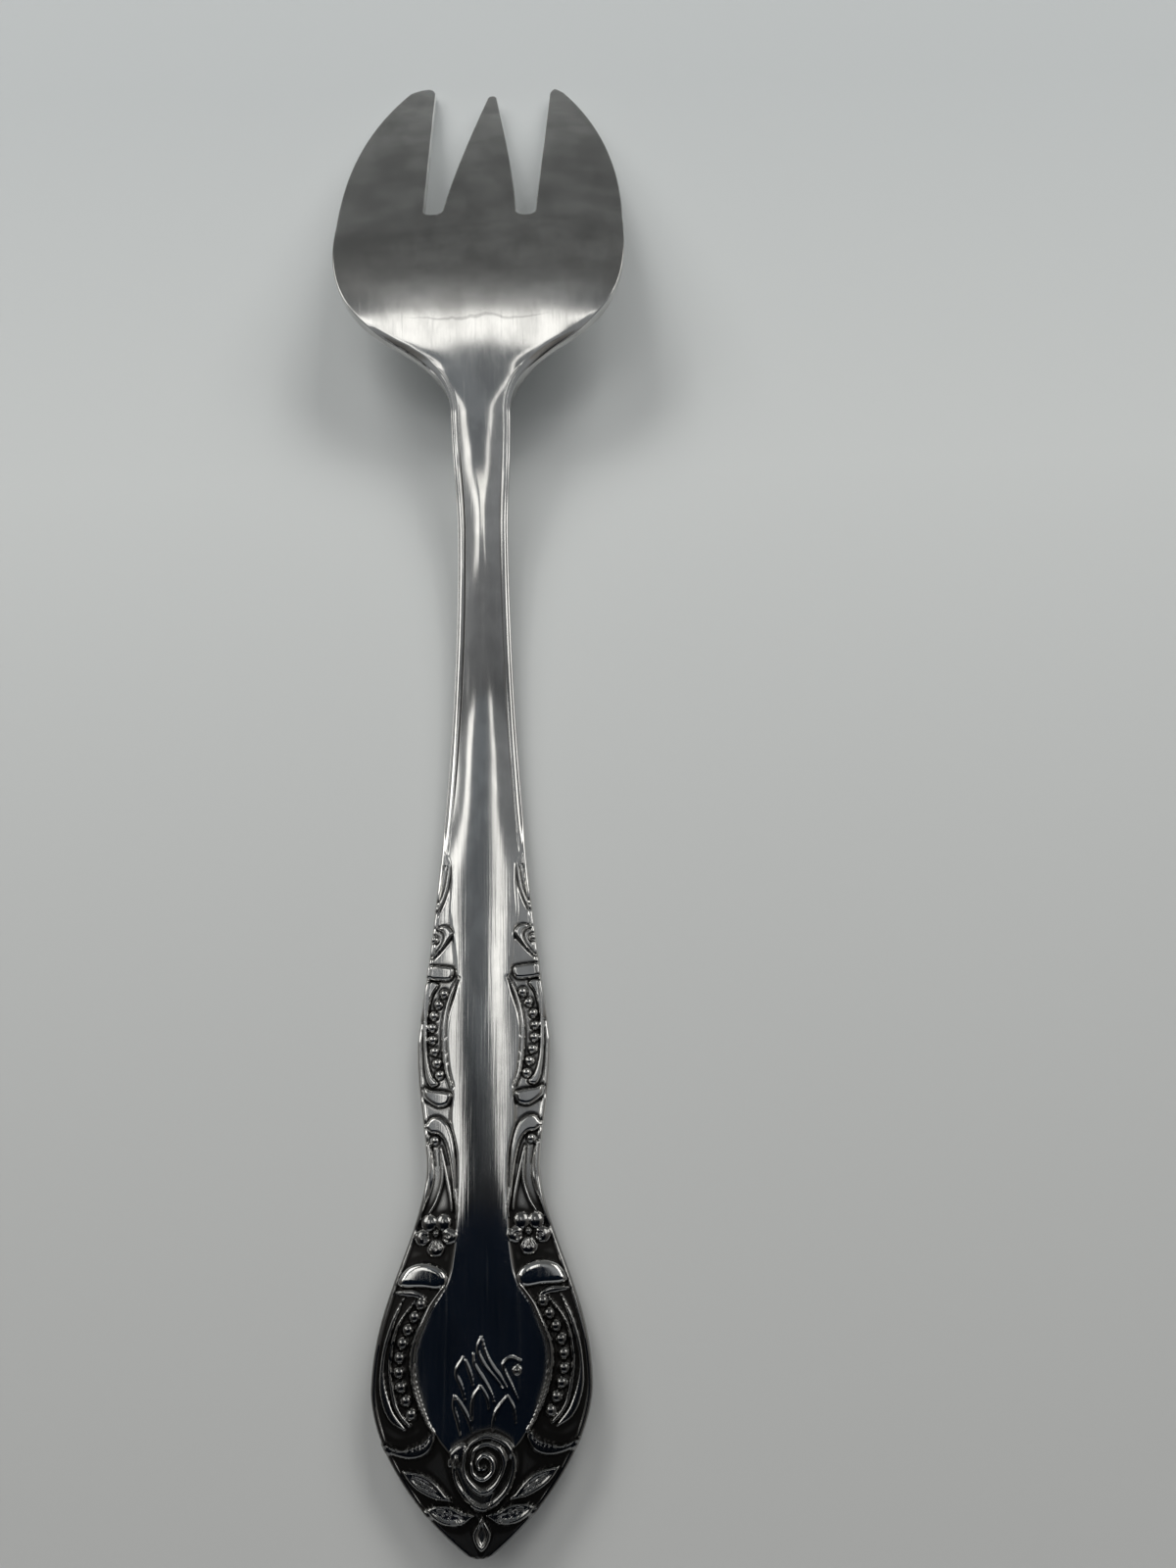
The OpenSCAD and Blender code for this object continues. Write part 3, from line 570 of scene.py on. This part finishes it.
def upper_relief(x, y):
    pair = Relief(np.abs(x), y)
    waist_strokes(pair)
    # bead row, the ridge inside it and the border outside it
    pair.bead_row([(4.95, 60.3), (6.2, 57.7), (6.35, 54.8), (5.35, 50.4)], 8, 0.62, 0.55)
    pair.ridge([(3.2, 62.1), (4.2, 59.7), (4.85, 56.8), (4.9, 53.8), (4.5, 50.9), (3.9, 49)],
               (0.15, 0.3, 0.32, 0.3, 0.2), 0.4)
    pair.plate([(5.6, 61.5), (7, 61.7), (7.45, 58), (7.5, 54.4), (7.1, 50.3), (6.4, 49), (5.4, 49.4),
                (6.2, 50.3), (6.8, 52.4), (6.95, 55), (6.9, 57.6), (6.4, 60.1)], 0.44, 0.3)
    # collars
    pair.plate([(3.7, 63.2), (4.3, 63.7), (7, 63.9), (7.2, 62.5), (7, 62.2), (4.6, 61.9), (3.9, 62.2)],
               0.55, 0.45)
    pair.plate([(3.9, 48.2), (5, 48.5), (6.5, 48.75), (7.2, 49), (7.2, 47.7), (5.7, 46.6), (4.4, 46.7),
                (3.9, 47.4)], 0.58, 0.5)
    # curl and slim leaf
    pair.plate([(4, 67.6), (4.3, 68.6), (5.1, 69), (6, 68.6), (5.2, 68.1), (5.1, 67.2), (5.7, 66),
                (6.8, 64.6), (5.5, 65.7)], 0.42, 0.35)
    pair.bead((6.2, 67.2), 0.5, 0.4)
    pair.plate([(4.3, 77.2), (4.5, 74.4), (5.2, 72), (6.3, 69.9), (6.3, 69.9), (6.3, 71.2), (5.9, 73.6),
                (5.5, 77)], 0.34, 0.35, 0.2)
    pair.groove([(4.7, 76.4), (5.2, 73.6), (6.1, 70.9)], (0.08, 0.14, 0.06), 0.16)
    return pair.height() - ground_depth * ground(x, y)


upper_stations, upper_columns, upper_face_columns = np.linspace(waist, narrows, 268), 140, 80
upper_handle = struck_zone(
    "upper_handle_back", upper_stations, upper_columns, upper_face_columns, upper_relief,
    lambda x, y: face_share * upper_relief(x, y))
upper_handle.data.materials.append(polished)
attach(upper_handle, "root")
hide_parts("upper_handle", "upper_beads", "upper_border", "upper_collars", "edge_scrolls",
            "edge_leaves", "waist_hoods", "waist_stems")

# Shank and bowl: the slim steel bar that carries the head, thick at the neck and rolled thin in the bowl.
# Its edges keep a raised thread from the die, the flat of the bowl runs down into the neck as a point,
# and low in the bowl the polish gives way to a brushed satin.
bowl_end, head_edge, shank_face_share = gaps - 3, 0.22, 0.25
shank_columns, shank_face_columns, thread_band, thread_corner = 150, 80, 1.7, 0.12
foot_place, foot_width, thread_place, thread_inside, thread_height = 1.05, 0.14, 0.8, 1.0, 0.1
split_place, split_width, split_depth = 0.58, 0.08, 0.08
left_foot_shade, right_foot_shade, left_thread_lean, right_thread_lean = 0.75, 0.45, 0.148, 0.1
bevel_width, neck_narrowing, bevel_slope, bevel_round = 0.7, 0.35, 0.6, 0.15


def edge_gap(x, y):
    return (half_width(y) - np.abs(x)) / edge_slant(y)


# A dark line painted along the foot of each edge thread, stronger on the left edge than on the right: part
# oxide in the groove, part painted shade.
def thread_foot_oxide_and_shade(x, y):
    shade = np.where(x < 0, left_foot_shade, right_foot_shade)
    dark = shade * np.exp(-((edge_gap(x, y) - foot_place) / foot_width) ** 2)
    return dark * ease(share(y, narrows + 4, narrows + 12)) * ease(share(y, neck_end + 20, neck_end + 8))


def shank_relief(x, y):
    gap = edge_gap(x, y)
    ends = ease(share(y, narrows, narrows + 7)) * ease(share(y, root + 5, root - 2))
    on_neck = ease(share(y, root + 1, root - 7))
    width = bevel_width - neck_narrowing * on_neck
    bevel = bevel_slope * (width - gap + np.hypot(width - gap, bevel_round)) * ends
    lean_out = np.where(x < 0, left_thread_lean, right_thread_lean) - roof_slope(y)
    on_thread = ease(share(gap, thread_inside, thread_place))
    thread = (thread_height - lean_out * (thread_place - gap)) * on_thread
    split = split_depth * np.exp(-((gap - split_place) / split_width) ** 2)
    split = split * ease(share(y, neck_end + 9, neck_end + 14))
    struck = (thread - split) * ease(share(y, narrows, narrows + 5)) * on_neck
    return struck - bevel - ground_depth * ground(x, y)


shank_stations = np.linspace(narrows, bowl_end, 340)
shank_corner = along(
    shank_stations, (narrows, edge_radius), (narrows + 7, thread_corner), (root - 2, thread_corner),
    (root + 5, head_edge))
shank_and_bowl = struck_zone(
    "shank_and_bowl", shank_stations, shank_columns, shank_face_columns, shank_relief,
    lambda x, y: shank_face_share * shank_relief(x, y),
    shank_corner[:, None], thread_band, extra_oxide_and_shade=thread_foot_oxide_and_shade)
shank_and_bowl.data.materials.append(polished)
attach(shank_and_bowl, "root")
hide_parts("shank", "neck", "bowl")

# Tines: the three prongs that run on from the bowl in the same thin, brushed steel.
# The gaps between them are pierced with round corners and their edges are eased all round.
slot_inner, slot_outer, slot_corner = 5.6, 8.5, 1.15
tip_inner, tip_reach, gap_lean = 9.8, 1.8, 1.3
middle_tip, middle_tip_width, middle_reach, middle_power = tips - 3, 1.3, 1.2, 1.25
outer_tip_power, rim_insets, edge_share = 0.8, (0.015, 0.025, 0.045, 0.06, 0.075), 0.42
row_step, first_column, last_column, column_step = 0.6, -21.7, 22, 0.7
left_tip_lean, right_tip_lean, left_floor, right_floor = 0.4, 0.55, gaps - 0.25, gaps - 0.75
right_tip = 1000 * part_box("right_tine")[1].y - point - 0.3


def inner_edge(y):
    return slot_outer + (tip_inner - slot_outer) * (y - gaps) / (tips - gaps)


def middle_half(y):
    taper = share(y, gaps, middle_tip) ** middle_power
    return slot_inner + (middle_tip_width / 2 - slot_inner) * taper


def lean(y):
    return gap_lean * (y - gaps) / (tips - gaps)


def tine_edge(side):
    tip_lean, tip, floor = left_tip_lean, tips, left_floor
    if side > 0:
        tip_lean, tip, floor = right_tip_lean, right_tip, right_floor
    edge = [(half_width(y), y) for y in np.linspace(bowl_end, tip - tip_reach, 80)[1:]]
    for a in np.radians(np.linspace(5, 175, 35)):
        outer = a < math.pi / 2
        y = tip - tip_reach * (1 - math.sin(a)) ** (outer_tip_power if outer else 1)
        inner = inner_edge(y) + side * lean(y)
        width = half_width(y) - inner
        across = (1 - tip_lean if outer else tip_lean) * math.cos(a)
        edge.append((inner + width * (tip_lean + across), y))
    slot = [(inner_edge(y), y) for y in np.linspace(tip - tip_reach, floor + slot_corner, 70)]
    for a in np.radians(np.linspace(0, 90, 9))[1:]:
        slot.append((slot_outer - slot_corner * (1 - math.cos(a)), floor + slot_corner * (1 - math.sin(a))))
    for a in np.radians(np.linspace(0, 90, 9)):
        slot.append((slot_inner + slot_corner * (1 - math.sin(a)), floor + slot_corner * (1 - math.cos(a))))
    middle_end = middle_tip - middle_reach
    slot += [(middle_half(y), y) for y in np.linspace(floor + slot_corner, middle_end, 70)[1:]]
    last = middle_half(middle_end)
    for a in np.radians(np.linspace(15, 75, 5)):
        slot.append((last * math.cos(a), middle_tip - middle_reach * (1 - math.sin(a))))
    return edge + [(x + side * lean(y), y) for x, y in slot]


def tine_outline():
    left = [(-x, y) for x, y in tine_edge(-1)[::-1]]
    tops = tine_edge(1) + [(lean(middle_tip), middle_tip)] + left
    base = [(half_width(bowl_end) * s, bowl_end) for s in np.linspace(-1, 1, 61)]
    return np.array(tops + base, float), len(tops)


outline, shaped = tine_outline()
bpy.ops.object.select_all(action="DESELECT")
bpy.ops.mesh.primitive_circle_add(vertices=len(outline), fill_type="NGON")
tines = bpy.context.object
tines.name = tines.data.name = "tines"
tines.data.vertices.foreach_set("co", np.column_stack([outline, np.zeros(len(outline))]).ravel())
bpy.ops.object.mode_set(mode="EDIT")
bpy.ops.mesh.select_all(action="SELECT")
bpy.ops.mesh.normals_make_consistent(inside=False)
for width in rim_insets:
    bpy.ops.mesh.inset(thickness=width, use_even_offset=True)
for y in np.arange(bowl_end + 0.5, tips, row_step):
    bpy.ops.mesh.select_all(action="SELECT")
    bpy.ops.mesh.bisect(plane_co=(0, float(y), 0), plane_no=(0, 1, 0), threshold=1e-6)
for x in np.arange(first_column, last_column, column_step):
    bpy.ops.mesh.select_all(action="SELECT")
    bpy.ops.mesh.bisect(plane_co=(float(x), 0, 0), plane_no=(1, 0, 0), threshold=1e-6)
bpy.ops.mesh.select_all(action="SELECT")
bpy.ops.mesh.extrude_region_move(TRANSFORM_OT_translate={"value": (0, 0, -1)})
bpy.ops.object.mode_set(mode="OBJECT")

spots = np.empty(len(tines.data.vertices) * 3)
tines.data.vertices.foreach_get("co", spots)
x, y, layer = spots.reshape(-1, 3).T
rim = np.vstack([outline[-1:], outline[:shaped + 1]])
gap = np.full(len(x), np.inf)
for a, d in zip(rim, np.diff(rim, axis=0)):
    s = np.clip(((x - a[0]) * d[0] + (y - a[1]) * d[1]) / max(d @ d, 1e-12), 0, 1)
    gap = np.minimum(gap, np.hypot(x - a[0] - s * d[0], y - a[1] - s * d[1]))
radius = np.minimum(head_edge, edge_share * (back(x, y) - face(x, y)))
inside = np.clip(radius - gap, 0, radius)
eased = radius - np.sqrt(radius ** 2 - inside ** 2)
height = np.where(layer > -0.5, back(x, y) - eased, np.maximum(face(x, y) + eased, 0))
tines.data.vertices.foreach_set("co", (np.column_stack([x, y + point, height]) / 1000).ravel())
bpy.ops.object.mode_set(mode="EDIT")
bpy.ops.mesh.select_all(action="SELECT")
bpy.ops.mesh.normals_make_consistent(inside=False)
bpy.ops.object.mode_set(mode="OBJECT")
bpy.ops.object.shade_smooth_by_angle(angle=crease)
tines.data.materials.append(polished)
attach(tines, "root")
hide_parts("left_tine", "middle_tine", "right_tine")

# Table: the pale matte top that the fork lies face down on, one flat sheet.
# Its colour is painted darker towards the near edge, a painted shadow, and a little darker again towards
# the far edge.
table_size, table_roughness, shade_reach, palest_at = 4, 0.7, 0.11, 0.64
near_painted_shade, far_shade = (0.64, 0.652, 0.655, 1), (0.69, 0.725, 0.745, 1)
palest_shade = (0.795, 0.825, 0.835, 1)
bpy.ops.object.select_all(action="DESELECT")
bpy.ops.mesh.primitive_plane_add(size=table_size, location=(0, 0, 0))
table = bpy.context.object
table.name = "table"
matte = bpy.data.materials.new("pale_table")
matte.use_nodes = True
nodes, link = matte.node_tree.nodes, matte.node_tree.links.new
shader = nodes["Principled BSDF"]
lay = nodes.new("ShaderNodeTexCoord")
parts = nodes.new("ShaderNodeSeparateXYZ")
length = nodes.new("ShaderNodeMapRange")
length.inputs["From Min"].default_value = -shade_reach
length.inputs["From Max"].default_value = shade_reach
painted_floor_shades = nodes.new("ShaderNodeValToRGB")
painted_floor_shades.color_ramp.elements[0].color = near_painted_shade
painted_floor_shades.color_ramp.elements[1].color = far_shade
painted_floor_shades.color_ramp.elements.new(palest_at).color = palest_shade
link(lay.outputs["Object"], parts.inputs["Vector"])
link(parts.outputs["Y"], length.inputs["Value"])
link(length.outputs["Result"], painted_floor_shades.inputs["Fac"])
link(painted_floor_shades.outputs["Color"], shader.inputs["Base Color"])
shader.inputs["Roughness"].default_value = table_roughness
table.data.materials.append(matte)

# Light: two soft boxes overhead, one at each side and two ahead, in a grey room that is darker ahead.
# Cards that only reflections show give the polish something to mirror: dim ones over and beside the
# handle and low over the shank, and a small bright one for the glint at the neck.
wall_colour, dark_wall_colour, wall_turn = (0.27, 0.28, 0.29, 1), (0.13, 0.134, 0.133, 1), (0.3, 0.55)
room_fill, lamp_colour = 0.35, (1, 0.985, 0.945)
room = bpy.data.worlds.new("room")
bpy.context.scene.world = room
room.use_nodes = True
nodes, link = room.node_tree.nodes, room.node_tree.links.new
towards = nodes.new("ShaderNodeTexCoord")
split = nodes.new("ShaderNodeSeparateXYZ")
link(towards.outputs["Generated"], split.inputs["Vector"])
ahead = nodes.new("ShaderNodeMapRange")
ahead.interpolation_type = "SMOOTHSTEP"
ahead.inputs["From Min"].default_value = wall_turn[0]
ahead.inputs["From Max"].default_value = wall_turn[1]
link(split.outputs["Y"], ahead.inputs["Value"])
walls = nodes.new("ShaderNodeMix")
walls.data_type = "RGBA"
walls.inputs["A"].default_value = wall_colour
walls.inputs["B"].default_value = dark_wall_colour
link(ahead.outputs["Result"], walls.inputs["Factor"])
link(walls.outputs["Result"], nodes["Background"].inputs["Color"])
ray = nodes.new("ShaderNodeLightPath")
fill = nodes.new("ShaderNodeMapRange")
fill.inputs["To Min"].default_value = room_fill
fill.inputs["To Max"].default_value = 1
link(ray.outputs["Is Glossy Ray"], fill.inputs["Value"])
link(fill.outputs["Result"], nodes["Background"].inputs["Strength"])


def soft_box(name, at, across, along_fork, glow, mirrored=True):
    bpy.ops.object.light_add(type="AREA", location=at)
    lamp = bpy.context.object
    lamp.name = name
    lamp.data.shape = "RECTANGLE"
    lamp.data.size, lamp.data.size_y = across, along_fork
    lamp.data.energy = glow * math.pi * across * along_fork
    lamp.data.color = lamp_colour
    lamp.visible_glossy = mirrored
    away = np.array(at) / np.linalg.norm(at)
    right = np.cross((0, 1, 0), away)
    right = right / np.linalg.norm(right)
    lamp.rotation_euler = Matrix(np.column_stack([right, np.cross(away, right), away]).tolist()).to_euler()


soft_box("overhead_near", (-0.17, 0.05, 1.0), 0.6, 0.2, 1.0)
soft_box("overhead_far", (-0.17, 0.29, 1.0), 0.6, 0.28, 1.42)
soft_box("left", (-0.85, 0.6, 0.75), 0.5, 0.8, 2.2)
soft_box("right", (0.85, 0.6, 0.75), 0.5, 0.8, 2.2)
soft_box("ahead_left", (-0.42, 0.95, 0.75), 0.4, 0.4, 8.0, mirrored=False)
soft_box("ahead_right", (0.42, 0.95, 0.75), 0.4, 0.4, 8.0, mirrored=False)


# Each card glows by its own emission, running from one level at its near end to another at its far end, and
# shows only in reflections: a painted reflection.
def mirrored_card(name, corners, near_glow, far_glow, reach, tint):
    bpy.ops.mesh.primitive_plane_add(size=1)
    card = bpy.context.object
    card.name = name
    card.data.vertices.foreach_set("co", np.array(corners, float).ravel())
    card_glow = bpy.data.materials.new(name)
    card_glow.use_nodes = True
    nodes, link = card_glow.node_tree.nodes, card_glow.node_tree.links.new
    nodes.remove(nodes["Principled BSDF"])
    shine = nodes.new("ShaderNodeEmission")
    shine.inputs["Color"].default_value = (*tint, 1)
    where = nodes.new("ShaderNodeTexCoord")
    split = nodes.new("ShaderNodeSeparateXYZ")
    link(where.outputs["Object"], split.inputs["Vector"])
    glow = nodes.new("ShaderNodeMapRange")
    ends = {"From Min": reach[0], "From Max": reach[1], "To Min": near_glow, "To Max": far_glow}
    for socket, number in ends.items():
        glow.inputs[socket].default_value = number
    link(split.outputs["Y"], glow.inputs["Value"])
    link(glow.outputs["Result"], shine.inputs["Strength"])
    link(shine.outputs["Emission"], nodes["Material Output"].inputs["Surface"])
    card.data.materials.append(card_glow)
    card.visible_camera = card.visible_diffuse = card.visible_shadow = card.visible_transmission = False


def level(near, near_sides, far, far_sides, height):
    return [(x, y, height) for y, sides in ((near, near_sides), (far, far_sides)) for x in sides]


end_height, handle_height, shank_height = 0.152, 0.153, 0.04
end_near, end_far, end_sides = -0.26, -0.06, (-0.14, 0.13)
panel_far, panel_sides, panel_reach = -0.022, (-0.054, -0.003), (-0.058, -0.022)
stripe_near, stripe_far = (-0.04, -0.012), (-0.054, -0.03)
middle_near, middle_far = (-0.012, 0.016), (-0.03, -0.003)
shade_near, shade_far, shade_sides = 0.006, 0.0235, (-0.034, 0.03)
glint_near, glint_far, glint_sides = 0.0262, 0.0305, (-0.0085, 0.0055)
grey_tint = (0.9, 0.98, 1.06)
near = level(end_near, end_sides, end_far, end_sides, end_height)
mirrored_card("near_card", near, 0.004, 0.008, (-0.2, end_far), (0.4, 0.75, 1.5))
stripe = level(end_far, stripe_near, panel_far, stripe_far, handle_height)
mirrored_card("stripe_card", stripe, 0.015, 0.07, panel_reach, (0.86, 0.97, 1.1))
middle = level(end_far, middle_near, panel_far, middle_far, handle_height)
mirrored_card("middle_card", middle, 0.015, 0.17, panel_reach, grey_tint)
far = level(panel_far, panel_sides, 0.08, (-0.048, 0.012), handle_height)
mirrored_card("far_card", far, 0.13, 0.2, (panel_far, 0.03), grey_tint)
shade = level(shade_near, shade_sides, shade_far, shade_sides, shank_height)
mirrored_card("shank_card", shade, 0.1, 0.25, (shade_near, shade_far), (0.95, 0.98, 1.02))
glint = level(glint_near, glint_sides, glint_far, glint_sides, shank_height)
mirrored_card("glint_card", glint, 1.5, 1.5, (0, 1), (1, 0.99, 0.95))
wings = (("left_wing", end_sides[0], 0.05, 0.16), ("right_wing", end_sides[1], 0.09, 0.26))
for name, side, low_glow, high_glow in wings:
    wing = [(side, y, height) for y in (end_near, -0.03) for height in (0.012, end_height)]
    mirrored_card(name, wing, low_glow, high_glow, (-0.12, -0.03), (1.03, 1, 0.95))

# Camera: a phone's wide lens, held over the handle and looking steeply down along the fork.
# It is turned a little about its own axis, and its frame is filled from the tips to the handle's end.
eye, sensor_height, focal_length, nearest = (0.01355, -0.0743, 0.14964), 36, 27.05, 0.01
pitch, yaw, roll = math.radians(69.86), math.radians(0.34), math.radians(-1.39)
forward = np.array((math.sin(yaw) * math.cos(pitch), math.cos(yaw) * math.cos(pitch), -math.sin(pitch)))
right = np.array((math.cos(yaw), -math.sin(yaw), 0))
up = np.cross(right, forward)
turned_right = math.cos(roll) * right + math.sin(roll) * up
turned_up = -math.sin(roll) * right + math.cos(roll) * up
lens = bpy.data.cameras.new("lens")
lens.sensor_fit = "VERTICAL"
lens.sensor_height = sensor_height
lens.lens = focal_length
lens.clip_start = nearest
camera = bpy.data.objects.new("camera", lens)
bpy.context.scene.collection.objects.link(camera)
stand = Matrix(np.column_stack([turned_right, turned_up, -forward]).tolist()).to_4x4()
stand.translation = eye
camera.matrix_world = stand
bpy.context.scene.camera = camera
bpy.context.scene.view_settings.view_transform = "Standard"
